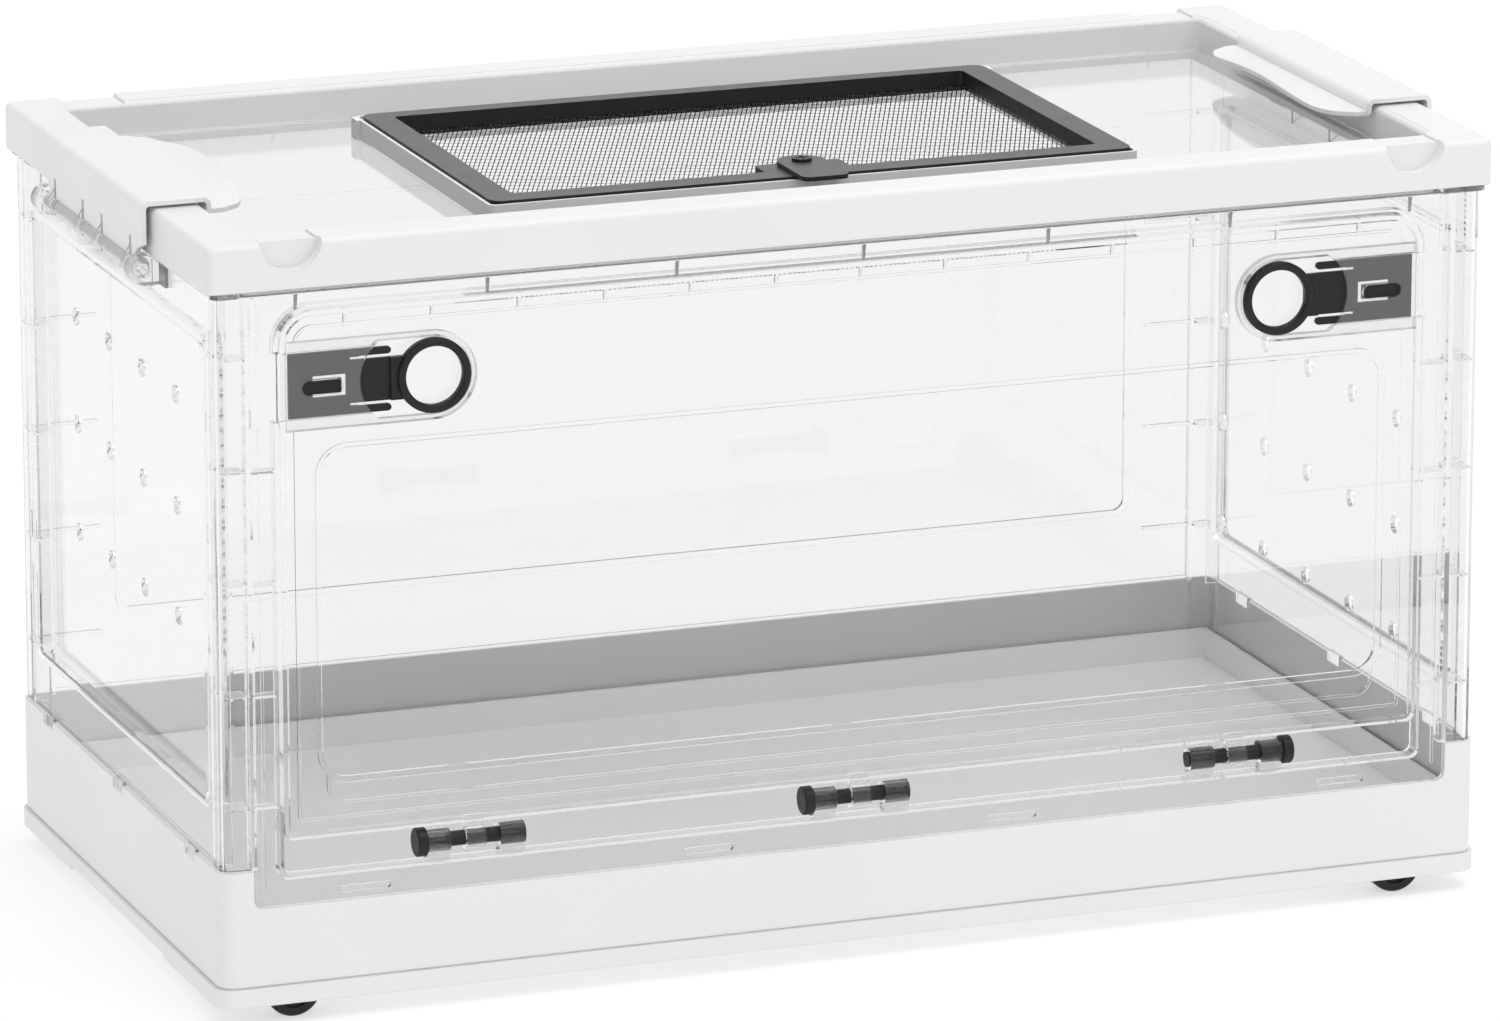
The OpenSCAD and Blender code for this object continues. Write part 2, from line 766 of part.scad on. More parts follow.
// Cutter that rounds the upper edge of a well of half sizes x and y, at z = 0
module well_flare(x, y, rc, re) {
    for (s = [0, 1]) {
        rotate(180 * s) translate([0, y, 0]) rotate([90, 0, 90])
            linear_extrude(2 * (x - rc), center = true) flare2(re);
        rotate(180 * s) translate([x, 0, 0]) rotate([90, 0, 0])
            linear_extrude(2 * (y - rc), center = true) flare2(re);
        for (t = [0, 1]) mirror([s, 0, 0]) mirror([0, t, 0])
            translate([x - rc, y - rc, 0]) rotate_extrude(angle = 90) translate([rc, 0]) flare2(re);
    }
}

// Section of the flare in [distance outwards, z], a touch inside the faces that it blends
module flare2(re) {
    touch = 0.12;
    difference() {
        translate([-1, -re - touch]) square([re - touch + 1, re + 1]);
        translate([re - touch, -re - touch]) circle(re);
    }
}

// Wall behind a scoop in the front of the rim
module scoop_shell(x) {
    front = -rim_w / 2 + shell - 0.5;
    back = -rim_w / 2 + scoop_d;
    difference() {
        intersection() {
            facing_y(front, back) translate([x, lid_top + 1]) circle(scoop_r + 2);
            block([x - 20, -rim_w, rim_z], [x + 20, rim_w, lid_top - 1]);
        }
        facing_y(front - 1, back - shell) translate([x, lid_top + 1]) circle(scoop_r);
    }
}

module lid_panel() {
    cx = win_x + collar_gap;
    cy0 = win_front - collar_gap;
    cy1 = win_back + 3 * collar_gap;
    lap = 9;
    pad = 1.6;
    color(CLEAR) difference() {
        union() {
            level(panel_top - panel_t + fit / 2, panel_top) plan(rim_in_x - fit, rim_in_y - fit, 3.8);
            level(panel_top - 0.5, collar_top)
                ring2(-cx - collar_t, cy0 - collar_t, cx + collar_t, cy1 + collar_t, 4, collar_t);
            // Pads that carry the window's pivots
            for (s = [-1, 1])
                block([s * (cx + pad) - pad, pivot_y - 4, panel_top - 0.5],
                      [s * (cx + pad) + pad, pivot_y + 4, collar_top]);
        }
        level(panel_top - panel_t - 1, panel_top + 1)
            round_box2(-win_x + lap, win_front + lap, win_x - lap, win_back - lap, 4);
        rod_x_dir(-cx - 4, cx + 4, pivot_y, pivot_z, pivot_r + run);
    }
}

module window_frame() {
    ix = win_x - border_x;
    seat = 2.5;
    rebate = 1.2;
    color(GREY) difference() {
        union() {
            level(win_low, win_top) difference() {
                round_box2(-win_x, win_front, win_x, win_back, 6);
                round_box2(-ix, win_front + border_front, ix, win_back - border_back, 2);
            }
            // Block that carries the turn latch
            level(mesh_z + 2.5, win_top) round_box2(-20, win_front + border_front - 3, 20, turn_y + 7, 2);
        }
        // Seat for the mesh
        level(win_low - 1, mesh_z + 2 * wire)
            round_box2(-ix - seat, win_front + border_front - seat,
                       ix + seat, win_back - border_back + seat, 1);
        // Rebate under the back edge, so that it swings clear of the panel
        block([-win_x - 1, win_back - rebate, win_low - 1], [win_x + 1, win_back + 1, win_low + rebate]);
        // Bores for the pivots and the latch's screw
        for (s = [-1, 1]) rod_x_dir(s * (win_x - 3) - 4, s * (win_x - 3) + 4, pivot_y, pivot_z, pivot_r);
        translate([0, turn_y, turn_z - 6]) cylinder(r = 1.6, h = 8);
    }
}

module window_mesh() {
    ix = win_x - border_x + 2.3;
    y0 = win_front + border_front - 2.3;
    y1 = win_back - border_back + 2.3;
    color(STEEL) {
        for (x = [-floor(ix / mesh_pitch) * mesh_pitch : mesh_pitch : ix])
            block([x - wire / 2, y0, mesh_z], [x + wire / 2, y1, mesh_z + wire]);
        for (y = [y0 + 2 : mesh_pitch : y1])
            block([-ix, y - wire / 2, mesh_z + wire], [ix, y + wire / 2, mesh_z + 2 * wire]);
        level(mesh_z, mesh_z + 2 * wire) ring2(-ix, y0, ix, y1, 1.5, 1);
    }
}

module window_pivots() {
    color(STEEL) for (s = [-1, 1]) {
        mid = s * (win_x - 1.5);
        rod_x_dir(mid - 4.5, mid + 4.5, pivot_y, pivot_z, pivot_r);
    }
}

module turn_latch() {
    color(BLACK) difference() {
        level(turn_z, turn_z + 2) {
            round_box2(-11, -107, 11, turn_y + 2, 4);
            translate([0, turn_y]) circle(11);
        }
        translate([0, turn_y, turn_z - 1]) cylinder(r = 1.6 + run, h = 4);
    }
}

module turn_screw() {
    color(BLACK) difference() {
        union() {
            translate([0, turn_y, turn_z - 4]) cylinder(r = 1.6, h = 6.5);
            translate([0, turn_y, turn_z + 2 + run]) cylinder(r = 4.5, h = 1.4);
        }
        block([-3, turn_y - 0.5, turn_z + 3], [3, turn_y + 0.5, turn_z + 4]);
        block([-0.5, turn_y - 3, turn_z + 3], [0.5, turn_y + 3, turn_z + 4]);
    }
}

// ---- End latches ----

// Section of an end latch in [x, z]: outer plate, top plate and the step down to the finger tab
module latch_section() {
    deep = 60;
    difference() {
        round_box2(latch_in, latch_top - deep, latch_out, latch_top, latch_r);
        round_box2(latch_in + latch_t, latch_top - 2 * deep, latch_out - latch_t, latch_top - latch_t,
                   latch_r - latch_t);
        translate([latch_in - 1, latch_top - 2 * deep]) square([20, 2 * deep - latch_top + tab_z - 0.8]);
        translate([latch_in - 1, latch_top - 2 * deep]) square([deep, 2 * deep - latch_top + latch_low]);
    }
    // Rounded foot of the step
    translate([latch_in, tab_z]) intersection() {
        circle(latch_t);
        translate([0, -latch_t]) square(latch_t);
    }
}

// Right-hand end latch
module end_latch() {
    half = latch_l / 2;
    inner = half - bracket_l - 1.5;
    notch_top = rod_z + bracket_r + 1.2;
    color(WHITE) difference() {
        union() {
            facing_y(-half, half) latch_section();
            facing_y(-inner, inner) hook_section();
            finger_tab();
        }
        for (y = fins)
            block([rod_x - 10, y - fin_t / 2 - fin_gap, rod_z - 10],
                  [rod_x + 10, y + fin_t / 2 + fin_gap, slot_top]);
        // Lower corners cut back round the end brackets
        for (s = [0, 1]) mirror([0, s, 0]) facing_x(latch_out - latch_t - 1, latch_out + 1)
            polygon([[inner, rod_z], [inner, notch_top - 1], [inner + 1, notch_top],
                     [half + 1, notch_top + 4], [half + 1, rod_z]]);
    }
}

// Hook section in [x, z]: round the back of the rod, open towards the outside
module hook_section() {
    difference() {
        translate([rod_x, rod_z]) circle(hook_r);
        translate([rod_x, rod_z]) circle(rod_r + run);
        translate([latch_out, rod_z - 10]) square([10, 20]);
    }
    translate([latch_out - latch_t, rod_z + rod_r + 0.3]) square([latch_t, 3]);
}

// How far the finger tab reaches inwards, and how high its edge rises, at y
function tab_reach(y) = tab_d * pow(1 - pow(abs(2 * y / latch_l), 3), 1 / 3);
function tab_rise(y) = tab_lift * pow(max(0, 1 - pow(y / 58, 2)), 1.2);

// Finger tab: a sheet with round ends whose edge arches up in the middle
module finger_tab() {
    rows = 4;
    end = latch_l / 2 - 0.4;
    root = latch_in + 0.3;
    top = [for (i = [0 : tab_steps]) let (y = end - 2 * end * i / tab_steps)
        for (j = [0 : rows]) let (f = j / rows)
            [root - (tab_reach(y) + root - latch_in) * f, y, tab_z + tab_rise(y) * f * f]];
    count = len(top);
    w = rows + 1;
    last = tab_steps * w;
    polyhedron(
        points = concat(top, [for (p = top) p - [0, 0, latch_t]]),
        faces = concat(
            [for (i = [0 : tab_steps - 1], j = [0 : rows - 1]) let (a = i * w + j)
                for (f = [[a, a + w, a + 1], [a + 1, a + w, a + w + 1]]) f],
            [for (i = [0 : tab_steps - 1], j = [0 : rows - 1]) let (a = count + i * w + j)
                for (f = [[a, a + 1, a + w], [a + 1, a + w + 1, a + w]]) f],
            [for (i = [0 : tab_steps - 1]) let (a = i * w)
                for (f = [[a, a + count, a + w], [a + w, a + count, a + w + count]]) f],
            [for (i = [0 : tab_steps - 1]) let (a = i * w + rows)
                for (f = [[a, a + w, a + count], [a + w, a + w + count, a + count]]) f],
            [for (j = [0 : rows - 1])
                for (f = [[j, j + 1, j + count], [j + 1, j + 1 + count, j + count]]) f],
            [for (j = [0 : rows - 1]) let (a = last + j)
                for (f = [[a, a + count, a + 1], [a + 1, a + count, a + 1 + count]]) f]
        )
    );
}

module end_latch_left() mirror([1, 0, 0]) end_latch();
module end_latch_right() end_latch();

module latch_rod() {
    color(CLEAR) rod_y_dir(-latch_l / 2, latch_l / 2, rod_x, rod_z, rod_r);
}

module latch_rod_left() mirror([1, 0, 0]) latch_rod();
module latch_rod_right() latch_rod();

// Fins and end brackets that hold the right-hand rod off the wall
module rod_brackets() {
    half = latch_l / 2;
    face = wall_x - 0.5;
    foot = 1.6;
    flange_out = rim_l / 2 - 2.4;
    rim_out = rim_l / 2 + 0.6;
    color(CLEAR) difference() {
        union() {
            for (y = fins) facing_y(y - fin_t / 2, y + fin_t / 2) {
                translate([rod_x, rod_z]) circle(fin_r);
                polygon([[face, rod_z - 12], [face, wall_top - 0.2], [flange_out, wall_top - 0.2],
                         [flange_out, rim_z - 0.6], [rim_out, rim_z - 0.6], [rim_out, rod_z + 7],
                         [latch_out, rod_z + 8],
                         [rod_x + fin_r - 0.6, rod_z + 2.6], [rod_x + 2.6, rod_z - fin_r + 0.8]]);
            }
            for (s = [0, 1]) mirror([0, s, 0]) {
                facing_y(half - bracket_l, half) {
                    translate([rod_x, rod_z]) circle(bracket_r);
                    translate([face, rod_z - bracket_r]) square([rod_x - face, bracket_r + 3.3]);
                }
                block([face, half - 1, rod_z - bracket_r], [face + foot, half + 8, rod_z + 3.3]);
            }
        }
        rod_y_dir(-half - 9, half + 9, rod_x, rod_z, rod_r);
    }
}

module rod_brackets_left() mirror([1, 0, 0]) rod_brackets();
module rod_brackets_right() rod_brackets();

base_tray();
caster_brackets();
caster_axles();
wheel_front_left();
wheel_front_right();
wheel_back_left();
wheel_back_right();
post_front_left();
post_front_right();
post_back_left();
post_back_right();
left_wall();
right_wall();
back_wall();
front_frame();
top_frame();
door_panel();
door_hinge_pins();
bolt_cover_left();
bolt_cover_right();
bolt_left();
bolt_right();
lid_rim();
lid_panel();
window_frame();
window_mesh();
window_pivots();
turn_latch();
turn_screw();
end_latch_left();
end_latch_right();
latch_rod_left();
latch_rod_right();
rod_brackets_left();
rod_brackets_right();
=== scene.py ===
"""Looks of the clear hamster cage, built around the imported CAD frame. Metres, +Z up."""

import json
import math

import bmesh
import bpy
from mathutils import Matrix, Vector


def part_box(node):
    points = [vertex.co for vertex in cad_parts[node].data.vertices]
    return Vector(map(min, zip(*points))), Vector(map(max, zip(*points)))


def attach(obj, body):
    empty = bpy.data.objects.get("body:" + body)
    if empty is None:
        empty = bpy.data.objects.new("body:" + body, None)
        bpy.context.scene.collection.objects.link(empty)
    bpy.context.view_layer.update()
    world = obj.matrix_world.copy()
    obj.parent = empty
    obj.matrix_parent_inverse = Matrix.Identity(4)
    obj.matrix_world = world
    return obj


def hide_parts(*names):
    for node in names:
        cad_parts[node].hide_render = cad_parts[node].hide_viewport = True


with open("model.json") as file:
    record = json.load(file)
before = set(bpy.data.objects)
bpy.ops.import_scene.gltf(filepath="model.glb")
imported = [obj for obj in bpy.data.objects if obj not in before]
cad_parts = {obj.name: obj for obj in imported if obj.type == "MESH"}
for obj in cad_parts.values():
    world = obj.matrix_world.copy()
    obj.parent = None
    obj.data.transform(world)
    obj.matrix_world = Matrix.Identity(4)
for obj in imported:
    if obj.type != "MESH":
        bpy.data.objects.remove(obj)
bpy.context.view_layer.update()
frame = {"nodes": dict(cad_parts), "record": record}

scene = bpy.context.scene
MM = 0.001

# Height of the lid panel's frosted collar, and how much of its look is frost
COLLAR_H = 8.6 * MM
COLLAR_FROST = 0.88

# Depth of the fine grain on satin plastic
GRAIN_DEPTH = 0.02 * MM

# What one surface of the clear plastic lets through, for sight and for lamps
TINT = (0.922, 0.924, 0.927)
LAMP_TINT = (0.985, 0.985, 0.985)

# Wire cloth: pitch and wire radius of the close wires and of the wide-set cross wires
CLOSE_WIRES = (2.1 * MM, 0.27 * MM)
CROSS_WIRES = (6.3 * MM, 0.1 * MM)
# How far a wire swings up and down as it weaves, and how steeply the close wires slant
WEAVE_RISE = 0.25 * MM
WIRE_SLANT = 66.6
# Half the width that the wires are laid over, more than the window's half diagonal
WIRE_REACH = 190 * MM

# Floor: radius in metres, paler and darker paper, and the glow that makes it as white as the room
FLOOR_RADIUS = 14.0
FLOOR_TONES = ((0.45, 0.45, 0.45), (0.46, 0.46, 0.46))
FLOOR_GLOW = 0.58

# Camera: turn and dip in degrees, distance and aim in metres, lens and sensor width in millimetres
CAMERA_YAW = 20.48
CAMERA_PITCH = 15.03
CAMERA_DISTANCE = 4.478
CAMERA_AIM = (0.0036, 0.0, 0.167)
CAMERA_LENS = 236.9
CAMERA_SENSOR = 36.0
CAMERA_REACH = 50.0

# Light: strength and dark tone of the room, and place, aim, size and power of the lamp
ROOM_STRENGTH = 0.92
ROOM_DARK = (0.22, 0.22, 0.23)
LAMP_PLACE = (0.5, -0.6, 2.6)
LAMP_AIM = (0, 0, 0.1)
LAMP_SIZE = (2.4, 2.0)
LAMP_POWER = 21.0

# How often light may bend or mirror, and pass straight, on its way through the many clear walls
MAX_BOUNCES = 96
MAX_PASSES = 64

# ---------------------------------------------------------------- helpers


def add_object(name, data):
    """A new object in the scene."""
    made = bpy.data.objects.new(name, data)
    scene.collection.objects.link(made)
    return made


def mesh_object(name, bm, material):
    """A new mesh object from a bmesh, which is freed."""
    mesh = bpy.data.meshes.new(name)
    bm.to_mesh(mesh)
    bm.free()
    mesh.materials.append(material)
    return add_object(name, mesh)


def new_material(name):
    """A new material, its nodes and its links."""
    mat = bpy.data.materials.new(name)
    mat.use_nodes = True
    return mat, mat.node_tree.nodes, mat.node_tree.links


def principled(nodes):
    return nodes["Principled BSDF"]


def surface(nodes):
    return nodes["Material Output"].inputs["Surface"]


def feed(links, value, slot):
    """Gives an input a socket's value, a number, or a colour of three numbers."""
    if isinstance(value, bpy.types.NodeSocket):
        links.new(value, slot)
    elif isinstance(value, tuple):
        slot.default_value = (*value, 1)
    else:
        slot.default_value = value


def noise(nodes, links, scale, detail):
    """A noise texture in object space, so that it has a real size in metres."""
    coords = nodes.new("ShaderNodeTexCoord")
    tex = nodes.new("ShaderNodeTexNoise")
    tex.inputs["Scale"].default_value = scale
    tex.inputs["Detail"].default_value = detail
    links.new(coords.outputs["Object"], tex.inputs["Vector"])
    return tex.outputs["Fac"]


def ramp(nodes, links, factor, low, high, colour_a, colour_b):
    """Colours between colour_a and colour_b as factor goes from low to high."""
    node = nodes.new("ShaderNodeValToRGB")
    first, last = node.color_ramp.elements
    first.position, first.color = low, (*colour_a, 1)
    last.position, last.color = high, (*colour_b, 1)
    links.new(factor, node.inputs["Fac"])
    return node.outputs["Color"]


def spread(nodes, links, factor, low, high):
    """Maps a 0..1 factor to low..high."""
    node = nodes.new("ShaderNodeMapRange")
    node.inputs["To Min"].default_value = low
    node.inputs["To Max"].default_value = high
    links.new(factor, node.inputs["Value"])
    return node.outputs["Result"]


def math_node(nodes, links, operation, *values):
    """A Math node's result for values that are sockets or numbers."""
    node = nodes.new("ShaderNodeMath")
    node.operation = operation
    for value, slot in zip(values, node.inputs):
        feed(links, value, slot)
    return node.outputs["Value"]


def split_xyz(nodes, links, output):
    """X, Y and Z of a texture coordinate. The object-space ones and the normal turn with the piece."""
    coords = nodes.new("ShaderNodeTexCoord")
    split = nodes.new("ShaderNodeSeparateXYZ")
    links.new(coords.outputs[output], split.inputs["Vector"])
    return split.outputs


def plain_shader(nodes, links, kind, colour):
    """A Diffuse or Transparent shader of one colour."""
    node = nodes.new("ShaderNodeBsdf" + kind)
    feed(links, colour, node.inputs["Color"])
    return node.outputs["BSDF"]


def mix_shaders(nodes, links, share, first, second):
    """Two shaders mixed, with share of the second."""
    node = nodes.new("ShaderNodeMixShader")
    feed(links, share, node.inputs["Fac"])
    links.new(first, node.inputs[1])
    links.new(second, node.inputs[2])
    return node.outputs["Shader"]


def moulded_skin(nodes, links, scale, strength, edge_radius):
    """Fine grain and softened edges for a satin moulding."""
    grain = noise(nodes, links, scale, 2.0)
    edge = nodes.new("ShaderNodeBevel")
    edge.samples = 4
    edge.inputs["Radius"].default_value = edge_radius
    node = nodes.new("ShaderNodeBump")
    node.inputs["Distance"].default_value = GRAIN_DEPTH
    node.inputs["Strength"].default_value = strength
    links.new(grain, node.inputs["Height"])
    links.new(edge.outputs["Normal"], node.inputs["Normal"])
    links.new(node.outputs["Normal"], principled(nodes).inputs["Normal"])


# ---------------------------------------------------------------- materials


def moulded_white():
    """Satin white moulding: fine grain, slight flow marks and softened edges."""
    mat, nodes, links = new_material("moulded_white")
    bsdf = principled(nodes)
    flow = noise(nodes, links, 9.0, 2.0)
    tint = ramp(nodes, links, flow, 0.35, 0.7, (0.80, 0.805, 0.812), (0.825, 0.83, 0.836))
    links.new(tint, bsdf.inputs["Base Color"])
    links.new(spread(nodes, links, flow, 0.3, 0.42), bsdf.inputs["Roughness"])
    bsdf.inputs["IOR"].default_value = 1.46
    moulded_skin(nodes, links, 1400.0, 0.5, 0.5 * MM)
    return mat


def satin_dark(name, low, high):
    """A dark moulding without its colour, and the cloudy noise that makes its polish uneven."""
    mat, nodes, links = new_material(name)
    bsdf = principled(nodes)
    cloud = noise(nodes, links, 120.0, 4.0)
    links.new(spread(nodes, links, cloud, low, high), bsdf.inputs["Roughness"])
    bsdf.inputs["Specular IOR Level"].default_value = 0.25
    moulded_skin(nodes, links, 2600.0, 0.6, 0.35 * MM)
    return mat, cloud


def dark_plastic(name, colour, low, high):
    """Satin dark moulding of one slightly cloudy colour."""
    mat, cloud = satin_dark(name, low, high)
    nodes, links = mat.node_tree.nodes, mat.node_tree.links
    tint = ramp(nodes, links, cloud, 0.4, 0.75, colour, tuple(c * 1.25 for c in colour))
    links.new(tint, principled(nodes).inputs["Base Color"])
    return mat


def frame_plastic():
    """Satin dark moulding with a painted highlight: the faces that look up are painted paler, standing in
    for the bright light they reflect from above.
    """
    mat, _ = satin_dark("window_frame_plastic", 0.3, 0.45)
    nodes, links = mat.node_tree.nodes, mat.node_tree.links
    # Painted highlight: faces that look up get a paler colour, with a little noise mixed into the tone
    up = split_xyz(nodes, links, "Normal")["Z"]
    cloud = noise(nodes, links, 160.0, 3.0)
    painted_top_light_and_noise = math_node(nodes, links, "MULTIPLY_ADD", cloud, 0.08, up)
    painted_shading_tone = ramp(nodes, links, painted_top_light_and_noise, 0.5, 1.0, (0.017, 0.017, 0.018), (0.085, 0.085, 0.087))
    links.new(painted_shading_tone, principled(nodes).inputs["Base Color"])
    return mat


def clear_plastic(name, tint, ior, milk=0.0):
    """Clear moulding that bends light, with a share of milky white. Lamps reach what is behind it."""
    mat, nodes, links = new_material(name)
    bsdf = principled(nodes)
    bsdf.inputs["Transmission Weight"].default_value = 1.0
    bsdf.inputs["IOR"].default_value = ior
    haze = noise(nodes, links, 30.0, 3.0)
    colour = ramp(nodes, links, haze, 0.3, 0.75, tint, tuple(min(1.0, c + 0.006) for c in tint))
    links.new(colour, bsdf.inputs["Base Color"])
    links.new(spread(nodes, links, haze, 0.0, 0.03), bsdf.inputs["Roughness"])
    seen = bsdf.outputs["BSDF"]
    if milk > 0:
        white = plain_shader(nodes, links, "Diffuse", (0.9, 0.9, 0.9))
        seen = mix_shaders(nodes, links, milk, seen, white)
    through = plain_shader(nodes, links, "Transparent", LAMP_TINT)
    to_lamp = nodes.new("ShaderNodeLightPath").outputs["Is Shadow Ray"]
    links.new(mix_shaders(nodes, links, to_lamp, seen, through), surface(nodes))
    return mat


def lid_plastic():
    """Clear lid plate whose upright collar is drawn as frost, with painted shade and light: grey on its
    upright faces, painted whiter on the faces that look up.
    """
    mat = clear_plastic("lid_plastic", TINT, 1.46)
    nodes, links = mat.node_tree.nodes, mat.node_tree.links
    clear = surface(nodes).links[0].from_socket
    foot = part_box("lid_panel")[1][2] - COLLAR_H
    above = math_node(nodes, links, "GREATER_THAN", split_xyz(nodes, links, "Object")["Z"], foot)
    # Painted shade and highlight: the frost is grey on upright faces and painted whiter on faces that
    # look up
    up = split_xyz(nodes, links, "Normal")["Z"]
    painted_shading_tone = ramp(nodes, links, up, 0.4, 0.8, (0.7, 0.7, 0.71), (0.93, 0.93, 0.93))
    painted_shading_frost = plain_shader(nodes, links, "Diffuse", painted_shading_tone)
    share = math_node(nodes, links, "MULTIPLY", above, COLLAR_FROST)
    links.new(mix_shaders(nodes, links, share, clear, painted_shading_frost), surface(nodes))
    return mat


def cover_plastic():
    """Thin clear cover that lets light straight through, a little milky, with painted shade on its edges:
    faces that turn away from the Y axis are painted greyer, standing in for the dark edges of clear
    plastic.
    """
    mat, nodes, links = new_material("bolt_cover_plastic")
    # Painted shade: the clear colour turns grey on faces that turn away from the Y axis, which are the
    # cover's edges
    facing = math_node(nodes, links, "ABSOLUTE", split_xyz(nodes, links, "Normal")["Y"])
    painted_shading_tone = ramp(nodes, links, facing, 0.3, 0.85, (0.7, 0.7, 0.71), (0.985, 0.987, 0.99))
    clear = plain_shader(nodes, links, "Transparent", painted_shading_tone)
    haze = noise(nodes, links, 220.0, 3.0)
    cloud = ramp(nodes, links, haze, 0.3, 0.7, (0.86, 0.86, 0.87), (0.93, 0.93, 0.93))
    milky = mix_shaders(nodes, links, 0.075, clear, plain_shader(nodes, links, "Diffuse", cloud))
    gloss = nodes.new("ShaderNodeBsdfGlossy")
    gloss.inputs["Roughness"].default_value = 0.06
    shine = nodes.new("ShaderNodeFresnel")
    shine.inputs["IOR"].default_value = 1.3
    mix = mix_shaders(nodes, links, shine.outputs["Fac"], milky, gloss.outputs["BSDF"])
    links.new(mix, surface(nodes))
    nodes.remove(principled(nodes))
    return mat


def drawn_steel(name, colour, low, high):
    """Drawn wire or pin: fine streaks and uneven polish."""
    mat, nodes, links = new_material(name)
    bsdf = principled(nodes)
    bsdf.inputs["Metallic"].default_value = 1.0
    streak = noise(nodes, links, 900.0, 3.0)
    tint = ramp(nodes, links, streak, 0.3, 0.75, colour, tuple(c * 1.2 for c in colour))
    links.new(tint, bsdf.inputs["Base Color"])
    links.new(spread(nodes, links, streak, low, high), bsdf.inputs["Roughness"])
    return mat


WHITE = moulded_white()
CLEAR = clear_plastic("clear_plastic", TINT, 1.42)
THIN = clear_plastic("clear_fins", (0.95, 0.952, 0.955), 1.3, 0.05)
COVER = cover_plastic()
LID = lid_plastic()
BLACK = dark_plastic("black_plastic", (0.013, 0.013, 0.014), 0.28, 0.42)
GREY = frame_plastic()
WHEEL = dark_plastic("wheel_plastic", (0.016, 0.016, 0.018), 0.25, 0.4)
WIRE = drawn_steel("steel_mesh", (0.07, 0.07, 0.072), 0.35, 0.5)
PIN = drawn_steel("steel_pin", (0.6, 0.61, 0.63), 0.25, 0.4)

BY_SLOT = {
    "white_plastic": WHITE,
    "clear_plastic": CLEAR,
    "black_plastic": BLACK,
    "window_frame_plastic": GREY,
    "wheel_plastic": WHEEL,
    "steel_mesh": WIRE,
    "steel_pin": PIN,
}

BY_NODE = {
    "lid_panel": LID,
    "turn_latch": GREY,
    "top_frame": THIN,
    "rod_brackets_left": THIN,
    "rod_brackets_right": THIN,
    "bolt_cover_left": COVER,
    "bolt_cover_right": COVER,
}


def finish_nodes():
    """Gives every CAD node its own material, or the one of its slot."""
    slots = {s["node"]: s["material_slot"] for s in frame["record"]["subparts"]}
    for name, node in frame["nodes"].items():
        node.data.materials.clear()
        node.data.materials.append(BY_NODE.get(name, BY_SLOT[slots[name]]))


finish_nodes()

# ---------------------------------------------------------------- wire cloth of the window


def clip_line(origin, along, low, high):
    """Part of a level line that lies inside the box from low to high, as two distances, or None."""
    start, end = -math.inf, math.inf
    for i in range(2):
        a, b = sorted(((low[i] - origin[i]) / along[i], (high[i] - origin[i]) / along[i]))
        start, end = max(start, a), min(end, b)
    return (start, end) if start < end else None


def add_wire(bm, points, side, radius):
    """A square wire through points, with flat ends; side is its sideways direction."""
    up = Vector((0, 0, 1))
    rings = [[bm.verts.new(p + radius * way) for way in (side, up, -side, -up)] for p in points]
    for a, b in zip(rings, rings[1:]):
        for i in range(4):
            j = (i + 1) % 4
            bm.faces.new((a[i], b[i], b[j], a[j]))
    bm.faces.new(rings[0])
    bm.faces.new(rings[-1][::-1])


def lay_wires(bm, family, low, high):
    """Lays the close wires (family 0) or the cross wires (family 1), which weave over and under."""
    pitch, radius = (CLOSE_WIRES, CROSS_WIRES)[family]
    step = (CROSS_WIRES, CLOSE_WIRES)[family][0]
    angle = math.radians(WIRE_SLANT) - math.pi / 2 * family
    along = Vector((math.cos(angle), math.sin(angle), 0))
    side = Vector((-along.y, along.x, 0))
    middle = (Vector(low) + Vector(high)) / 2
    count = round(WIRE_REACH / pitch)
    for n in range(-count, count + 1):
        origin = middle + side * (n * pitch)
        span = clip_line(origin, along, low, high)
        if span is None or span[1] - span[0] < 2 * step:
            continue
        crossings = range(math.ceil(span[0] / step), math.floor(span[1] / step) + 1)
        places = [span[0]] + [k * step for k in crossings] + [span[1]]
        signs = [0] + [1 if (n + k + family) % 2 else -1 for k in crossings] + [0]
        points = [origin + along * t + Vector((0, 0, WEAVE_RISE * s)) for t, s in zip(places, signs)]
        add_wire(bm, points, side, radius)


def make_wire_cloth():
    """Fine slanting wire cloth of close thick wires and wide-set thin ones."""
    low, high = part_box("window_mesh")
    bm = bmesh.new()
    for family in range(2):
        lay_wires(bm, family, low, high)
    cloth = mesh_object("wire_cloth", bm, WIRE)
    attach(cloth, "window")
    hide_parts("window_mesh")


make_wire_cloth()

# ---------------------------------------------------------------- stage, camera and light


def floor_paper():
    """Matt white paper with a faint grain, as bright as the room behind it."""
    mat, nodes, links = new_material("floor_paper")
    bsdf = principled(nodes)
    fibre = noise(nodes, links, 60.0, 4.0)
    links.new(ramp(nodes, links, fibre, 0.3, 0.7, *FLOOR_TONES), bsdf.inputs["Base Color"])
    bsdf.inputs["Roughness"].default_value = 0.9
    bsdf.inputs["Specular IOR Level"].default_value = 0.0
    bsdf.inputs["Emission Color"].default_value = (1.0, 1.0, 1.0, 1)
    bsdf.inputs["Emission Strength"].default_value = FLOOR_GLOW
    return mat


def make_floor():
    """A wide pale floor, open all round."""
    bm = bmesh.new()
    bmesh.ops.create_circle(bm, cap_ends=True, segments=96, radius=FLOOR_RADIUS)
    floor = mesh_object("floor", bm, floor_paper())


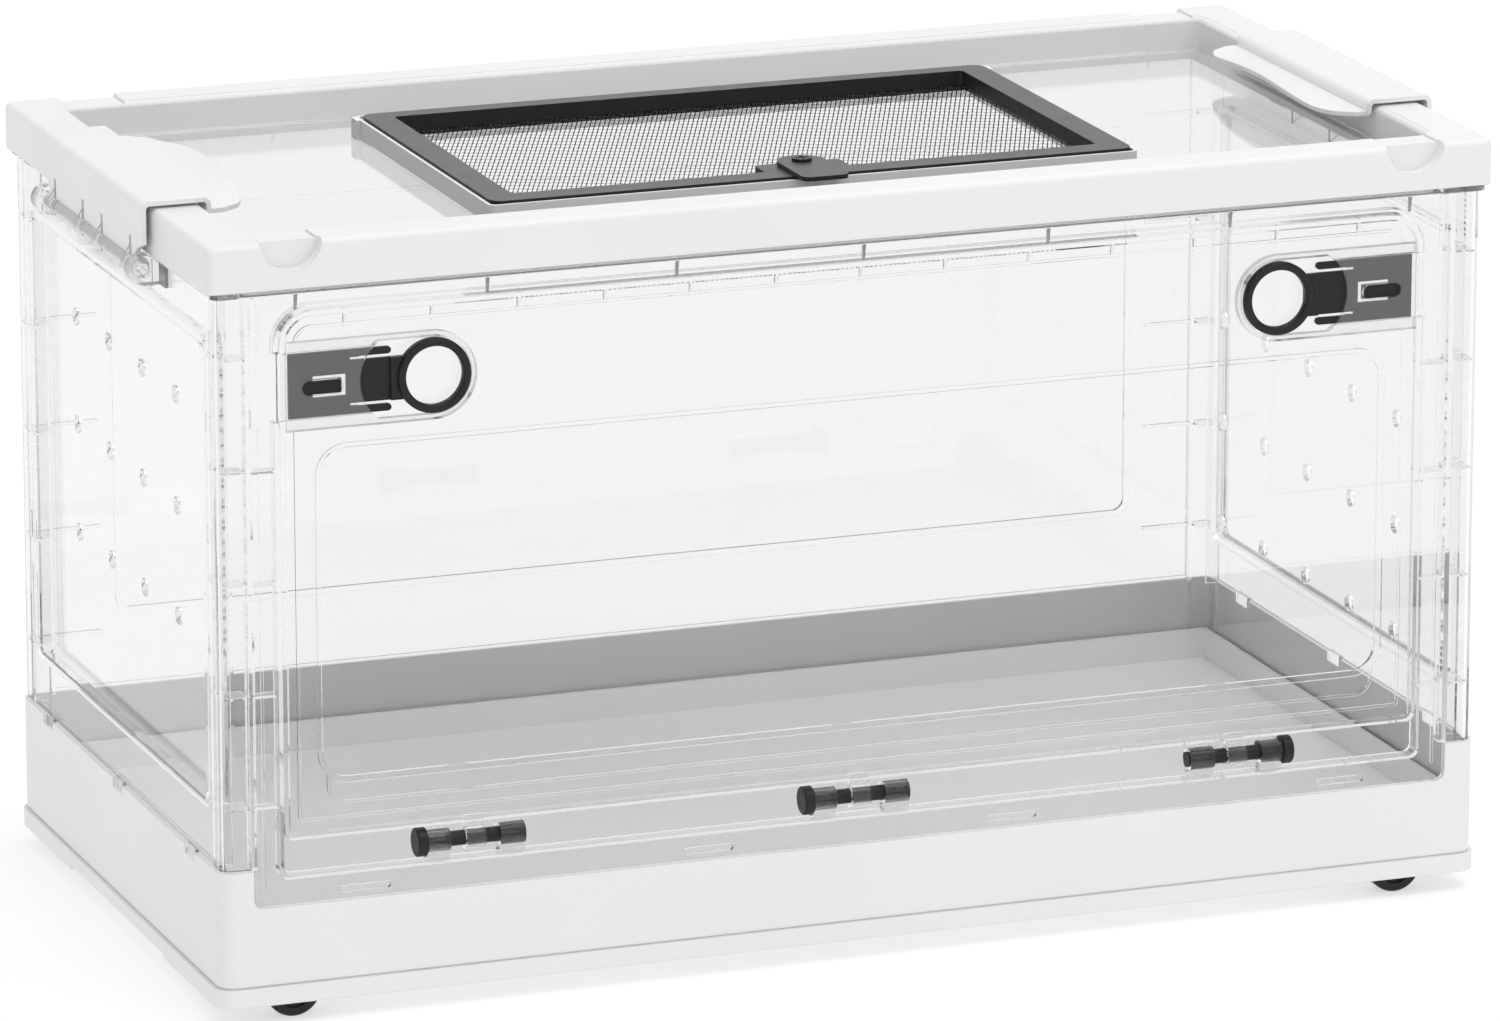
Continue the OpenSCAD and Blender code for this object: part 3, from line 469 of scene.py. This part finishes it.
def make_camera():
    """Long lens from the front left, looking a little down on the middle of the cage."""
    yaw, pitch = math.radians(CAMERA_YAW), math.radians(CAMERA_PITCH)
    forward = Vector((math.sin(yaw) * math.cos(pitch), math.cos(yaw) * math.cos(pitch), -math.sin(pitch)))
    data = bpy.data.cameras.new("camera")
    data.sensor_width = CAMERA_SENSOR
    data.lens = CAMERA_LENS
    data.clip_end = CAMERA_REACH
    camera = add_object("camera", data)
    camera.location = Vector(CAMERA_AIM) - forward * CAMERA_DISTANCE
    camera.rotation_euler = forward.to_track_quat("-Z", "Y").to_euler()
    scene.camera = camera


def make_lamp():
    """A large soft lamp above the front right of the cage."""
    data = bpy.data.lights.new("top", "AREA")
    data.shape = "RECTANGLE"
    data.size, data.size_y = LAMP_SIZE
    data.energy = LAMP_POWER
    lamp = add_object("top", data)
    lamp.location = LAMP_PLACE
    lamp.rotation_euler = (Vector(LAMP_AIM) - Vector(LAMP_PLACE)).to_track_quat("-Z", "Y").to_euler()


def make_room():
    """White room, dark high up at the left and right, which draws the edges of the clear plastic."""
    world = bpy.data.worlds.new("studio")
    scene.world = world
    world.use_nodes = True
    nodes, links = world.node_tree.nodes, world.node_tree.links
    way = split_xyz(nodes, links, "Generated")
    aside = math_node(nodes, links, "ABSOLUTE", way["X"])
    high = nodes.new("ShaderNodeMapRange")
    high.inputs["From Min"].default_value = 0.06
    high.inputs["From Max"].default_value = 0.14
    links.new(way["Z"], high.inputs["Value"])
    flag = math_node(nodes, links, "MULTIPLY", aside, high.outputs["Result"])
    shade = ramp(nodes, links, flag, 0.72, 0.9, (1.0, 1.0, 1.0), ROOM_DARK)
    links.new(shade, nodes["Background"].inputs["Color"])
    nodes["Background"].inputs["Strength"].default_value = ROOM_STRENGTH


make_camera()
make_floor()
make_room()
make_lamp()
scene.view_settings.view_transform = "Standard"
scene.cycles.max_bounces = MAX_BOUNCES
scene.cycles.transmission_bounces = MAX_BOUNCES
scene.cycles.glossy_bounces = MAX_BOUNCES
scene.cycles.transparent_max_bounces = MAX_PASSES
